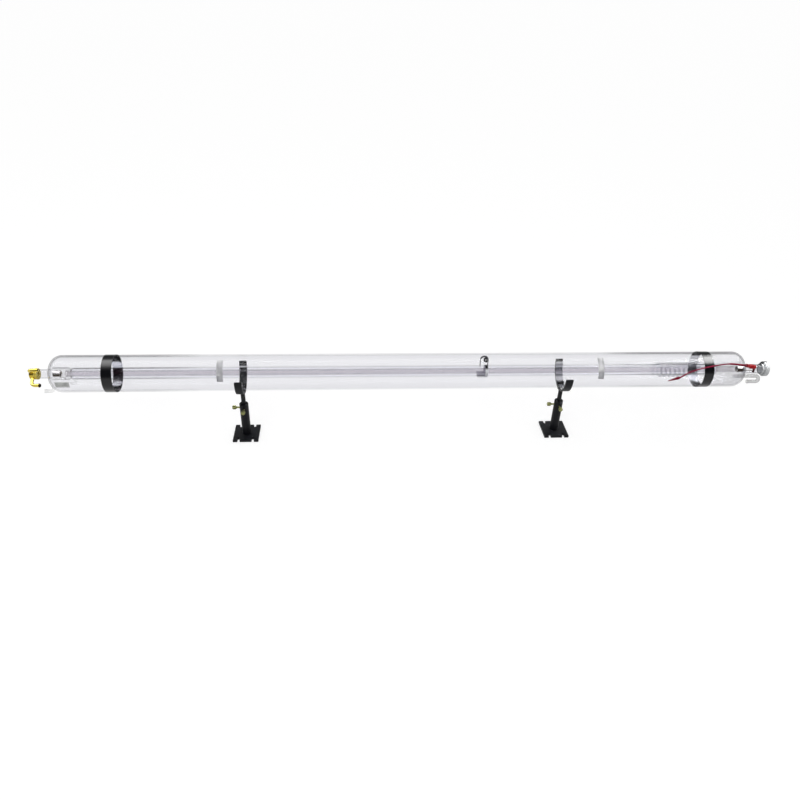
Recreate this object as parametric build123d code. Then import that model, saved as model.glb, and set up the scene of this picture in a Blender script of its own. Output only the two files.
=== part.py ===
"""Sealed-glass carbon dioxide laser tube, resting on two adjustable post stands.

Millimetres. The tube lies along X: its output end, the front, is at -X and its high-voltage
end, the rear, is at +X. The near side is -Y. Z = 0 is the bench under the stands, and the
tube's axis runs over Y = 0 at the height AXIS_Z.
"""
from build123d import *
import os
from math import cos, pi, radians, sin, sqrt, tan

os.makedirs("parts", exist_ok=True)

# ---- Tube: glass -------------------------------------------------------------
ENVELOPE_RADIUS = 40.0          # outer glass, 80 mm tube
ENVELOPE_LENGTH = 1537.0        # over the two flat end faces
ENVELOPE_WALL = 2.5
SHOULDER_RADIUS = 24.0          # where the barrel rolls in to its end faces
NECK_BLEND = 2.5                # melted corner between an end face and its neck

FRONT_NECK_RADIUS = 10.0
FRONT_NECK_LENGTH = 27.0
REAR_NECK_RADIUS = 11.0
REAR_NECK_LENGTH = 46.75
NECK_WALL = 1.5

BORE_TUBE_RADIUS = 6.5          # discharge tube
BORE_TUBE_WALL = 2.0
BORE_LIP = 1.2                  # flare at each open end
BORE_FRONT_GAP = 30.75          # open end to the front end face
BORE_REAR_GAP = 15.25
BORE_BEAD_BACK = 7.0            # bead behind the rear lip

JACKET_RADIUS = 12.5            # water jacket round the discharge tube
JACKET_WALL = 1.5
JACKET_FRONT_GAP = 40.75        # jacket end to the front end face
JACKET_REAR_GAP = 59.25
JACKET_END_ROUND = 4.5

CHAMBER_RADIUS = 14.0           # glass sleeve round the front electrode
CHAMBER_WALL = 1.2
CHAMBER_MOUTH = 9.0             # radius of the opening round the discharge tube
CHAMBER_END_ROUND = 4.0
CHAMBER_TO_JACKET = 2.0

COIL_TUBE_RADIUS = 2.2          # gas return coil
COIL_TUBE_BORE = 1.5
COIL_LIFT = 0.5                 # between the coil and the jacket
COIL_PITCH = 10.6
COIL_HALF_TURNS = 19
COIL_INLET_BEND = 4.0           # radius of the bend in towards the discharge tube
COIL_INLET_END = 3.0            # from the axis to the inlet's end, in the tube's wall
COIL_REAR_GAP = 101.0           # last turn to the rear end face

ARM_RADIUS = 4.0                # glass water arms
ARM_BORE = 2.8
ARM_TILT = -60.0                # plane of the arms, degrees up from the near side
FRONT_ARM_ROOT = 50.0           # from the front end face, on the jacket
FRONT_ARM_RUN = 21.0            # distance of the inner run from the axis
FRONT_ARM_EXIT = 4.0            # from the front end face to the arm through the shoulder
FRONT_ARM_DROP = 37.0           # distance of the outer leg from the axis
FRONT_ARM_REACH = 15.5          # outer leg's tip, beyond the front end face
REAR_ARM_ROOT = 71.0
REAR_ARM_RISE = 22.0
REAR_ARM_RUN = 16.5
REAR_ARM_LEVEL = 14.0           # where the inner run turns level, inside the rear end face
REAR_ARM_TURN = 43.5            # hairpin bend, beyond the rear end face
REAR_ARM_RETURN = 29.0          # distance of the returning leg from the axis
REAR_ARM_TIP = 14.75            # returning leg's tip, beyond the rear end face
ARM_ELBOW = 5.0
ARM_BARB = 0.8                  # swelling that a hose grips
BARB_LENGTH = 3.0

# ---- Tube: electrodes and support --------------------------------------------
ELECTRODE_RADIUS = 7.0
ELECTRODE_WALL = 0.6
CATHODE_LENGTH = 15.0
CATHODE_GAP = 2.0               # from the front end face
ANODE_LENGTH = 14.0
ANODE_SET_IN = 9.25             # rear electrode's inner end, from the rear end face
LEAD_WIRE_RADIUS = 0.6
CATHODE_LEAD_RUN = 9.0
ANODE_PIN_X = 23.75             # beyond the rear end face
ANODE_PIN_REACH = 14.8          # from the axis

SUPPORT_X = 166.0               # spring support half way along the jacket
SUPPORT_BAND_WIDTH = 6.0
SUPPORT_SHEET = 0.8
SUPPORT_SADDLE_LENGTH = 22.0
SUPPORT_SADDLE_SHEET = 2.0
SUPPORT_SADDLE_ANGLE = 50.0     # half angle of the saddle
SUPPORT_BOW_WIDTH = 6.0
SUPPORT_BOW_SPAN = 18.0

# ---- Tube: output head ---------------------------------------------------------
HEAD_RADIUS = 11.5
HEAD_LENGTH = 9.75
HEAD_EDGE = 1.2
HEAD_BORE = 5.0
FLANGE_RADIUS = 12.0
FLANGE_LENGTH = 6.25
FLANGE_GROOVE = 0.8
MIRROR_RADIUS = 7.5
MIRROR_THICKNESS = 3.0
SEAL_THICKNESS = 1.0
SEAL_WIDTH = 1.6
RETAINER_THICKNESS = 2.0
RETAINER_OPENING = 5.6
RETAINER_SLOT = 1.2             # width of the two notches for a spanner
SEAT_CLEARANCE = 0.1            # round a mirror, seal or ring in its recess

HEAD_NOZZLE_RADIUS = 3.5
HEAD_NOZZLE_BORE = 2.3
HEAD_NOZZLE_INSET = 6.25        # from the head's face to the nozzle's stem
HEAD_NOZZLE_DROP = 29.0         # distance of the nozzle's leg from the axis
HEAD_NOZZLE_BEND = 9.0
HEAD_NOZZLE_REACH = 19.75       # from the stem's centre to the tip
HEAD_NOZZLE_SEAT = 2.2          # depth of the stem in the head
HEAD_NOZZLE_BARB = 1.1
LOWER_NOZZLE_TILT = -27.0
UPPER_NOZZLE_TILT = 47.0

# ---- Tube: rear end ------------------------------------------------------------
COLLAR_RADIUS = 12.5
COLLAR_WALL = 1.6
REAR_MIRROR_THICKNESS = 4.75
CAP_RADIUS = 17.0
CAP_LENGTH = 10.0
CAP_EDGE = 1.0
CAP_GROOVE = 0.6

# ---- Tube: bands and high-voltage lead -----------------------------------------
BAND_WIDTH = 22.0
BAND_THICKNESS = 0.9
FIT_GAP = 0.02                  # band on the glass, screw in its thread
FRONT_BAND_BACK = 126.75        # middle of the band, from the front end face
REAR_BAND_BACK = 94.25

WIRE_RADIUS = 1.5
COVER_RADIUS = 2.2              # heat-shrink tube over the lead
COVER_LENGTH = 48.0             # along the tube
SLEEVE_LENGTH = 26.0
SLEEVE_RADIUS = 3.0
SLEEVE_TIP_RADIUS = 0.9
SLEEVE_GRIP = 5.0               # straight part of the sleeve that holds the wire

BOOT_RADIUS = 5.2
BOOT_BACK = 11.5                # closed end, behind the lead's first point
BOOT_BODY = 15.0                # straight part of the boot
BOOT_TAPER = 8.0
BOOT_NOSE_RADIUS = 3.0
BOOT_NOSE_BACK = 1.75           # nose, inside the rear end face, over the shoulder
BOOT_LEG_RADIUS = 2.2
BOOT_LEG_GAP = 0.2              # between the leg and the neck
BOOT_LEG_DROP = 1.0             # leg's foot below the anode pin
# ---- Stands --------------------------------------------------------------------
STAND_FRONT_X = -377.5
STAND_REAR_X = 346.0
BASE_LENGTH = 57.5              # along X
BASE_DEPTH = 61.0               # along Y
BASE_THICKNESS = 6.0
BASE_EDGE = 0.8
SLOT_WIDTH = 5.5
SLOT_DEPTH = 10.0
SLOT_OFFSET = 16.0

COLUMN_RADIUS = 10.0
COLUMN_HEIGHT = 81.5
COLUMN_FLOOR = 14.0             # solid foot of the column
COLUMN_CHAMFER = 2.0
ROD_RADIUS = 5.0
ROD_SHOWN = 30.0                # rod between the column and the cradle
ROD_HIDDEN = 39.0               # rod inside the column
ROD_CHAMFER = 0.8
SLIDING_CLEARANCE = 0.06        # rod in its column, screw in its thread

CRADLE_WIDTH = 16.0
CRADLE_WALL = 4.0
CRADLE_LINING = 4.0
CRADLE_TIP_RISE = 2.0           # arms above the tube's axis
CRADLE_BOSS_RADIUS = 8.0
CRADLE_BOSS = 2.0
LINING_CLEARANCE = 0.03
LINING_TOP = 4.0                # degrees below level where the lining ends
LINING_BOTTOM = 76.0            # degrees below level, beside the cradle screw

CRADLE_SCREW_RADIUS = 2.5
CRADLE_SCREW_HEAD = 4.5
CRADLE_SCREW_HEAD_HEIGHT = 2.2
CRADLE_SCREW_SOCKET = 1.75
CRADLE_SCREW_DEPTH = 12.0
WASHER_RADIUS = 7.5
WASHER_THICKNESS = 1.0
WASHER_SEAT_MARGIN = 0.5

BASE_SCREW_RADIUS = 3.0
BASE_SCREW_HEAD = 5.5
BASE_SCREW_HEAD_HEIGHT = 3.6
BASE_SCREW_DEPTH = 10.0
HEAD_SINK = 0.4                 # screw head below the plate's underside
HEAD_MARGIN = 0.3

THUMB_BELOW_TOP = 12.0          # clamp screws below the column's rim
THUMB_SHANK_RADIUS = 2.0
THUMB_SHANK_SHOWN = 8.0
THUMB_TIP_GAP = 0.3             # backed off from the rod
KNOB_RADIUS = 4.6
KNOB_LENGTH = 8.0
KNOB_RIDGES = 20
KNOB_RIDGE_DEPTH = 0.45
KNOB_CHAMFER = 0.8
KNOB_NECK_RADIUS = 3.0
KNOB_NECK_LENGTH = 1.5

# ---- Values that follow ----------------------------------------------------------
OVERALL_LENGTH = (HEAD_LENGTH + FLANGE_LENGTH + FRONT_NECK_LENGTH + ENVELOPE_LENGTH
                  + REAR_NECK_LENGTH + REAR_MIRROR_THICKNESS + CAP_LENGTH)
HEAD_FACE_X = -OVERALL_LENGTH / 2
FLANGE_X = HEAD_FACE_X + HEAD_LENGTH
FRONT_NECK_X = FLANGE_X + FLANGE_LENGTH
FRONT_FACE_X = FRONT_NECK_X + FRONT_NECK_LENGTH
REAR_FACE_X = FRONT_FACE_X + ENVELOPE_LENGTH
REAR_NECK_X = REAR_FACE_X + REAR_NECK_LENGTH
CAP_X = REAR_NECK_X + REAR_MIRROR_THICKNESS

CRADLE_INNER = ENVELOPE_RADIUS + CRADLE_LINING
CRADLE_OUTER = CRADLE_INNER + CRADLE_WALL
COLUMN_TOP_Z = BASE_THICKNESS + COLUMN_HEIGHT
ROD_TOP_Z = COLUMN_TOP_Z + ROD_SHOWN
AXIS_Z = ROD_TOP_Z + CRADLE_BOSS + CRADLE_OUTER
THUMB_Z = COLUMN_TOP_Z - THUMB_BELOW_TOP

INNER_ENVELOPE_RADIUS = ENVELOPE_RADIUS - ENVELOPE_WALL
JACKET_FRONT_X = FRONT_FACE_X + JACKET_FRONT_GAP
JACKET_REAR_X = REAR_FACE_X - JACKET_REAR_GAP
BORE_FRONT_X = FRONT_FACE_X + BORE_FRONT_GAP
BORE_REAR_X = REAR_FACE_X - BORE_REAR_GAP
COIL_REACH = JACKET_RADIUS + COIL_LIFT + COIL_TUBE_RADIUS


# ---- Shared shapes ---------------------------------------------------------------
def from_axis(x, distance, tilt):
    """A point at a distance from the tube's axis; tilt turns up from the near side."""
    return (x, -distance * cos(radians(tilt)), AXIS_Z + distance * sin(radians(tilt)))


def rod_along_x(radius, x_start, x_end):
    bar = Cylinder(radius, x_end - x_start, align=(Align.CENTER, Align.CENTER, Align.MIN))
    return Pos(x_start, 0, AXIS_Z) * Rot(0, 90, 0) * bar


def ring_along_x(outer, inner, x_start, x_end):
    return rod_along_x(outer, x_start, x_end) - rod_along_x(inner, x_start, x_end)


def turned(outline):
    """A solid turned about the tube's axis from a closed outline of (x, radius)."""
    return Pos(0, 0, AXIS_Z) * revolve(Plane.XZ * make_face(outline), Axis.X)


def upright(radius, z_start, z_end):
    return Pos(0, 0, z_start) * Cylinder(radius, z_end - z_start,
                                         align=(Align.CENTER, Align.CENTER, Align.MIN))


def swept_rod(path, radius):
    return sweep(Plane(path @ 0, z_dir=path % 0) * Circle(radius), path=path)


def swept_tube(path, radius, bore):
    return swept_rod(path, radius) - swept_rod(path, bore)


def barb(path, radius, bore, swelling):
    """The cone behind an open hose tip."""
    tip = Plane(path @ 1, z_dir=-(path % 1))
    cone = tip * Cone(radius, radius + swelling, BARB_LENGTH,
                      align=(Align.CENTER, Align.CENTER, Align.MIN))
    return cone - tip * Cylinder(bore, 3 * BARB_LENGTH)


# ---- Glass -----------------------------------------------------------------------
def bottle(inset, neck_inset):
    """The envelope's outline, drawn in by a wall; closed on the axis."""
    radius = ENVELOPE_RADIUS - inset
    front = FRONT_FACE_X + inset
    rear = REAR_FACE_X - inset
    front_neck = FRONT_NECK_RADIUS - neck_inset
    rear_neck = REAR_NECK_RADIUS - neck_inset
    shoulder = SHOULDER_RADIUS - inset
    wall = FilletPolyline((FRONT_NECK_X, front_neck), (front, front_neck), (front, radius),
                          (rear, radius), (rear, rear_neck), (REAR_NECK_X, rear_neck),
                          radius=[NECK_BLEND, shoulder, shoulder, NECK_BLEND])
    closing = Polyline((REAR_NECK_X, rear_neck), (REAR_NECK_X, 0), (FRONT_NECK_X, 0),
                       (FRONT_NECK_X, front_neck))
    return turned(wall.edges() + closing.edges())


def outer_envelope():
    shell = bottle(0, 0) - bottle(ENVELOPE_WALL, NECK_WALL)
    return shell - front_arm_solid() - rear_arm_solid() - anode_lead()


def discharge_tube():
    bore = BORE_TUBE_RADIUS - BORE_TUBE_WALL
    body = ring_along_x(BORE_TUBE_RADIUS, bore, BORE_FRONT_X, BORE_REAR_X)
    lip = BORE_TUBE_RADIUS + BORE_LIP
    for x, side in ((BORE_FRONT_X, 1), (BORE_REAR_X, -1)):
        flare = Polyline((x, bore), (x, lip), (x + side * 2 * BORE_LIP, BORE_TUBE_RADIUS),
                         (x + side * 2 * BORE_LIP, bore), close=True)
        body += turned(flare)
    bead_x = BORE_REAR_X - BORE_BEAD_BACK
    body += ring_along_x(lip - BORE_LIP / 2, bore, bead_x - BORE_LIP, bead_x)
    return body - swept_rod(coil_path(), COIL_TUBE_BORE)


def jacket_outline(inset):
    radius = JACKET_RADIUS - inset
    wall = FilletPolyline((JACKET_FRONT_X + inset, 0), (JACKET_FRONT_X + inset, radius),
                          (JACKET_REAR_X - inset, radius), (JACKET_REAR_X - inset, 0),
                          radius=JACKET_END_ROUND - inset / 2)
    return turned(wall.edges() + Line((JACKET_REAR_X - inset, 0), (JACKET_FRONT_X + inset, 0)).edges())


def water_jacket():
    shell = jacket_outline(0) - jacket_outline(JACKET_WALL)
    shell -= rod_along_x(BORE_TUBE_RADIUS, JACKET_FRONT_X - 1, JACKET_REAR_X + 1)
    return shell - front_arm_solid() - rear_arm_solid() - swept_rod(coil_path(), COIL_TUBE_RADIUS)


def front_chamber():
    face = FRONT_FACE_X + ENVELOPE_WALL
    end = JACKET_FRONT_X - CHAMBER_TO_JACKET
    outer = FilletPolyline((face, CHAMBER_RADIUS), (end, CHAMBER_RADIUS), (end, CHAMBER_MOUTH),
                           radius=CHAMBER_END_ROUND)
    inner_end = end - CHAMBER_WALL
    inner_radius = CHAMBER_RADIUS - CHAMBER_WALL
    inner = FilletPolyline((inner_end, CHAMBER_MOUTH), (inner_end, inner_radius), (face, inner_radius),
                           radius=CHAMBER_END_ROUND - CHAMBER_WALL)
    mouth = Line((end, CHAMBER_MOUTH), (inner_end, CHAMBER_MOUTH))
    seal = Line((face, inner_radius), (face, CHAMBER_RADIUS))
    return turned(outer.edges() + mouth.edges() + inner.edges() + seal.edges())


def coil_path():
    """Half turns, each in its own tilted plane, then a bend in towards the discharge tube."""
    edges = []
    for half in range(COIL_HALF_TURNS):
        side = 1 if half % 2 == 0 else -1
        top = side * sqrt(COIL_REACH ** 2 + (COIL_PITCH / 4) ** 2)
        edges.append(ThreePointArc((side * COIL_REACH, 0, half * COIL_PITCH / 2),
                                   (0, top, (half + 0.5) * COIL_PITCH / 2),
                                   (-side * COIL_REACH, 0, (half + 1) * COIL_PITCH / 2)))
    length = COIL_HALF_TURNS * COIL_PITCH / 2
    bend_end = (-side * (COIL_REACH - COIL_INLET_BEND), -side * COIL_INLET_BEND, length)
    edges.append(TangentArc(edges[-1] @ 1, bend_end, tangent=edges[-1] % 1))
    edges.append(Line(bend_end, (-side * COIL_INLET_END, -side * COIL_INLET_BEND, length)))
    return Pos(REAR_FACE_X - COIL_REAR_GAP - length, 0, AXIS_Z) * Rot(0, 90, 0) * Wire(edges)


def gas_return_coil():
    coil = swept_tube(coil_path(), COIL_TUBE_RADIUS, COIL_TUBE_BORE)
    return coil - rod_along_x(BORE_TUBE_RADIUS, JACKET_FRONT_X, JACKET_REAR_X)


def front_arm_path():
    """From the jacket, along beside the electrode sleeve, out through the shoulder."""
    root = FRONT_FACE_X + FRONT_ARM_ROOT
    exit_x = FRONT_FACE_X + FRONT_ARM_EXIT
    points = ((root, JACKET_RADIUS - JACKET_WALL), (root, FRONT_ARM_RUN), (exit_x, FRONT_ARM_RUN),
              (exit_x, FRONT_ARM_DROP), (FRONT_FACE_X - FRONT_ARM_REACH, FRONT_ARM_DROP))
    return FilletPolyline(*[from_axis(x, distance, ARM_TILT) for x, distance in points],
                          radius=ARM_ELBOW)


def rear_arm_path():
    """From the jacket out through the rear face, then a hairpin bend back to the tip."""
    root = REAR_FACE_X - REAR_ARM_ROOT
    turn = REAR_FACE_X + REAR_ARM_TURN
    points = ((root, JACKET_RADIUS - JACKET_WALL), (root, REAR_ARM_RISE),
              (REAR_FACE_X - REAR_ARM_LEVEL, REAR_ARM_RUN), (turn, REAR_ARM_RUN),
              (turn, REAR_ARM_RETURN), (REAR_FACE_X + REAR_ARM_TIP, REAR_ARM_RETURN))
    hairpin = 0.99 * (REAR_ARM_RETURN - REAR_ARM_RUN) / 2
    return FilletPolyline(*[from_axis(x, distance, ARM_TILT) for x, distance in points],
                          radius=[ARM_ELBOW, 2 * ARM_RADIUS, hairpin, hairpin])


def front_arm_solid():
    return swept_rod(front_arm_path(), ARM_RADIUS)


def rear_arm_solid():
    return swept_rod(rear_arm_path(), ARM_RADIUS)


def water_arm(path):
    return swept_tube(path, ARM_RADIUS, ARM_BORE) + barb(path, ARM_RADIUS, ARM_BORE, ARM_BARB)


# ---- Electrodes and support --------------------------------------------------------
def cathode_cylinder():
    x = FRONT_FACE_X + CATHODE_GAP + ENVELOPE_WALL
    return ring_along_x(ELECTRODE_RADIUS, ELECTRODE_RADIUS - ELECTRODE_WALL, x, x + CATHODE_LENGTH)


def cathode_lead():
    """A stiff wire from the cylinder's rim to the wall of its sleeve."""
    start = FRONT_FACE_X + CATHODE_GAP + ENVELOPE_WALL + CATHODE_LENGTH - 2
    end = start + CATHODE_LEAD_RUN + 2
    run = ELECTRODE_RADIUS + LEAD_WIRE_RADIUS
    wall = CHAMBER_RADIUS - CHAMBER_WALL
    points = [from_axis(start, run, ARM_TILT), from_axis(end, run, ARM_TILT),
              from_axis(end, wall - 0.1, ARM_TILT)]
    return swept_rod(FilletPolyline(*points, radius=2 * LEAD_WIRE_RADIUS), LEAD_WIRE_RADIUS)


def anode_cylinder():
    x = REAR_FACE_X - ANODE_SET_IN
    return ring_along_x(ELECTRODE_RADIUS, ELECTRODE_RADIUS - ELECTRODE_WALL, x, x + ANODE_LENGTH)


def anode_lead():
    """From the cylinder's side, back into the neck and out through its near wall."""
    start = REAR_FACE_X - ANODE_SET_IN + ANODE_LENGTH - 3
    run = ELECTRODE_RADIUS + LEAD_WIRE_RADIUS
    pin_x = REAR_FACE_X + ANODE_PIN_X
    points = [from_axis(start, run, 0), from_axis(pin_x, run, 0), from_axis(pin_x, ANODE_PIN_REACH, 0)]
    return swept_rod(FilletPolyline(*points, radius=2 * LEAD_WIRE_RADIUS), LEAD_WIRE_RADIUS)


def support_bow():
    """A flat strip bent to an arch between the jacket and the envelope."""
    rear = SUPPORT_X + SUPPORT_BAND_WIDTH / 2
    foot = JACKET_RADIUS + SUPPORT_SHEET / 2
    top = INNER_ENVELOPE_RADIUS - FIT_GAP - SUPPORT_BOW_WIDTH ** 2 / (8 * INNER_ENVELOPE_RADIUS)

    def arch(inset):
        start, end, crown = rear - SUPPORT_BOW_SPAN + inset, rear - inset, top - inset
        line = FilletPolyline((start, foot), (start, crown), (end, crown), (end, foot),
                              radius=0.45 * SUPPORT_BOW_SPAN - inset)
        return make_face(line.edges() + Line((end, foot), (start, foot)).edges())

    strip = extrude(Plane.XZ * (arch(0) - arch(SUPPORT_SHEET)), SUPPORT_BOW_WIDTH / 2, both=True)
    return Pos(0, 0, AXIS_Z) * strip


def mid_support():
    """Spring-steel support: a strap, a saddle under the jacket and a bow up to the envelope."""
    rear = SUPPORT_X + SUPPORT_BAND_WIDTH / 2
    front = rear - SUPPORT_SADDLE_LENGTH
    strap = ring_along_x(JACKET_RADIUS + SUPPORT_SHEET, JACKET_RADIUS, rear - SUPPORT_BAND_WIDTH, rear)
    saddle = ring_along_x(JACKET_RADIUS + SUPPORT_SADDLE_SHEET, JACKET_RADIUS, front, rear)
    cut_height = JACKET_RADIUS * cos(radians(SUPPORT_SADDLE_ANGLE))
    saddle &= Pos((front + rear) / 2, 0, AXIS_Z - cut_height) * Box(
        SUPPORT_SADDLE_LENGTH, 4 * JACKET_RADIUS, 2 * JACKET_RADIUS,
        align=(Align.CENTER, Align.CENTER, Align.MAX))
    return strap + saddle + (support_bow() - rod_along_x(JACKET_RADIUS, front, rear))


# ---- Output head -------------------------------------------------------------------
def head_recess_depth():
    return RETAINER_THICKNESS + MIRROR_THICKNESS + SEAL_THICKNESS


def recess_radius():
    return MIRROR_RADIUS + SEAT_CLEARANCE


def head_body():
    end = FLANGE_X
    body = FilletPolyline((HEAD_FACE_X, 0), (HEAD_FACE_X, HEAD_RADIUS), (end, HEAD_RADIUS), (end, 0),
                          radius=HEAD_EDGE)
    solid = turned(body.edges() + Line((end, 0), (HEAD_FACE_X, 0)).edges())
    solid -= rod_along_x(recess_radius(), HEAD_FACE_X - 1, HEAD_FACE_X + head_recess_depth())
    solid -= rod_along_x(HEAD_BORE, HEAD_FACE_X, end + 1)
    for tilt in (LOWER_NOZZLE_TILT, UPPER_NOZZLE_TILT):
        solid -= swept_rod(head_nozzle_path(tilt), HEAD_NOZZLE_RADIUS)
    return solid


def head_flange():
    """Ring soldered to the glass neck; the head screws against it."""
    ring = ring_along_x(FLANGE_RADIUS, HEAD_BORE, FLANGE_X, FRONT_NECK_X)
    groove_x = FLANGE_X + FLANGE_LENGTH / 2
    groove = ring_along_x(FLANGE_RADIUS + 1, FLANGE_RADIUS - FLANGE_GROOVE,
                          groove_x - FLANGE_GROOVE, groove_x + FLANGE_GROOVE)
    return ring - groove


def retaining_ring():
    x = HEAD_FACE_X
    ring = ring_along_x(MIRROR_RADIUS, RETAINER_OPENING, x, x + RETAINER_THICKNESS)
    spanner_slot = Pos(x, 0, AXIS_Z) * Box(RETAINER_THICKNESS, 3 * MIRROR_RADIUS, RETAINER_SLOT)
    return ring - spanner_slot


def output_mirror():
    x = HEAD_FACE_X + RETAINER_THICKNESS
    return rod_along_x(MIRROR_RADIUS, x, x + MIRROR_THICKNESS)


def mirror_seal():
    x = HEAD_FACE_X + RETAINER_THICKNESS + MIRROR_THICKNESS
    return ring_along_x(MIRROR_RADIUS, MIRROR_RADIUS - SEAL_WIDTH, x, x + SEAL_THICKNESS)


def head_nozzle_path(tilt):
    x = HEAD_FACE_X + HEAD_NOZZLE_INSET
    points = ((x, HEAD_RADIUS - HEAD_NOZZLE_SEAT), (x, HEAD_NOZZLE_DROP),
              (x + HEAD_NOZZLE_REACH, HEAD_NOZZLE_DROP))
    return FilletPolyline(*[from_axis(px, distance, tilt) for px, distance in points],
                          radius=HEAD_NOZZLE_BEND)


def head_nozzle(tilt):
    """Bent tube that carries cooling water; its leg runs back beside the neck."""
    path = head_nozzle_path(tilt)
    tube = swept_tube(path, HEAD_NOZZLE_RADIUS, HEAD_NOZZLE_BORE)
    return tube + barb(path, HEAD_NOZZLE_RADIUS, HEAD_NOZZLE_BORE, HEAD_NOZZLE_BARB)


# ---- Rear end ----------------------------------------------------------------------
def rear_collar():
    return ring_along_x(COLLAR_RADIUS, COLLAR_RADIUS - COLLAR_WALL, REAR_NECK_X, CAP_X)


def rear_mirror():
    return rod_along_x(COLLAR_RADIUS - COLLAR_WALL - SEAT_CLEARANCE, REAR_NECK_X, CAP_X)


def rear_cap():
    end = CAP_X + CAP_LENGTH
    middle = (CAP_X + end) / 2
    outline = Polyline((CAP_X, 0), (CAP_X, CAP_RADIUS - CAP_EDGE), (CAP_X + CAP_EDGE, CAP_RADIUS),
                       (middle - CAP_GROOVE, CAP_RADIUS), (middle, CAP_RADIUS - CAP_GROOVE),
                       (middle + CAP_GROOVE, CAP_RADIUS), (end - CAP_EDGE, CAP_RADIUS),
                       (end, CAP_RADIUS - CAP_EDGE), (end, 0), close=True)
    return turned(outline.edges())


# ---- Bands and high-voltage lead ---------------------------------------------------
def band(x):
    inner = ENVELOPE_RADIUS + FIT_GAP
    return ring_along_x(inner + BAND_THICKNESS, inner, x - BAND_WIDTH / 2, x + BAND_WIDTH / 2)


def wire_route():
    """The lead's points, from inside the boot, over the shoulder and down the near side."""
    points = [(14.75, -14.5, 15.0), (1.45, -17.8, 18.9), (-7.95, -28.1, 26.4), (-19.95, -31.6, 29.4),
              (-38.25, -29.5, 30.6), (-56.35, -29.2, 30.9), (-81.75, -32.0, 28.2),
              (-107.45, -34.9, 24.8), (-127.55, -37.2, 19.7), (-145.05, -40.4, 14.8),
              (-155.55, -42.5, 8.5), (-161.45, -43.1, 4.9), (-167.95, -43.4, 2.9)]
    return [(REAR_FACE_X + x, y, AXIS_Z + rise) for x, y, rise in points]


def route_radii(points):
    """The largest arcs that the runs beside each corner leave room for."""
    corners = [Vector(*point) for point in points]
    radii = []
    for before, corner, after in zip(corners, corners[1:], corners[2:]):
        run_in, run_out = corner - before, after - corner
        half_turn = radians(run_in.get_angle(run_out)) / 2
        radii.append(0.45 * min(run_in.length, run_out.length) / tan(half_turn))
    return radii


def hv_lead_path():
    points = wire_route()
    return FilletPolyline(*points, radius=route_radii(points))


def hv_lead():
    path = hv_lead_path()
    lead = swept_rod(path, WIRE_RADIUS)
    print("lead radii", [round(radius, 1) for radius in route_radii(wire_route())])
    print("lead length", round(path.length, 1), "volume ratio",
          round(lead.volume / (pi * WIRE_RADIUS ** 2 * path.length), 5))
    return lead


def slab(x_start, x_end):
    """Everything between two places along the tube."""
    return Pos((x_start + x_end) / 2, 0, AXIS_Z) * Box(x_end - x_start, 4 * ENVELOPE_RADIUS,
                                                       4 * ENVELOPE_RADIUS)


def hv_lead_cover():
    """Heat-shrink tube over the lead where it crosses the shoulder."""
    nose = REAR_FACE_X - BOOT_NOSE_BACK
    return swept_tube(hv_lead_path(), COVER_RADIUS, WIRE_RADIUS) & slab(nose - COVER_LENGTH, nose)


def hv_boot():
    """Silicone boot: a tapered sleeve along the lead, with a leg that covers the anode pin."""
    first, second = [Vector(*point) for point in wire_route()[:2]]
    along = Plane(first, z_dir=second - first)
    taper_start = BOOT_BODY - BOOT_BACK
    outline = FilletPolyline((0, -BOOT_BACK), (BOOT_RADIUS, -BOOT_BACK), (BOOT_RADIUS, taper_start),
                             (BOOT_NOSE_RADIUS, taper_start + BOOT_TAPER), (0, taper_start + BOOT_TAPER),
                             radius=[0.45 * BOOT_RADIUS, BOOT_TAPER / 2, 0.3 * BOOT_NOSE_RADIUS])
    body = revolve(Plane.XZ * make_face(outline.edges() + Line(outline @ 1, outline @ 0).edges()), Axis.Z)
    nose = REAR_FACE_X - BOOT_NOSE_BACK
    sleeve = swept_rod(hv_lead_path(), BOOT_NOSE_RADIUS) & slab(nose, nose + BOOT_TAPER)
    leg_y = -(REAR_NECK_RADIUS + BOOT_LEG_GAP + BOOT_LEG_RADIUS)
    leg = Pos(REAR_FACE_X + ANODE_PIN_X, leg_y, 0) * upright(BOOT_LEG_RADIUS, AXIS_Z - BOOT_LEG_DROP,
                                                             first.Z)
    return along * body + sleeve + leg - anode_lead() - swept_rod(hv_lead_path(), WIRE_RADIUS)


def hv_lead_sleeve():
    """Pointed end sleeve over the lead's free end."""
    path = hv_lead_path()
    end = Plane(path @ 1, z_dir=path % 1)
    grip = end.offset(-SLEEVE_GRIP) * Cylinder(SLEEVE_RADIUS, SLEEVE_GRIP,
                                               align=(Align.CENTER, Align.CENTER, Align.MIN))
    point = end * Cone(SLEEVE_RADIUS, SLEEVE_TIP_RADIUS, SLEEVE_LENGTH - SLEEVE_GRIP,
                       align=(Align.CENTER, Align.CENTER, Align.MIN))
    return grip + point - swept_rod(path, WIRE_RADIUS)


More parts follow.
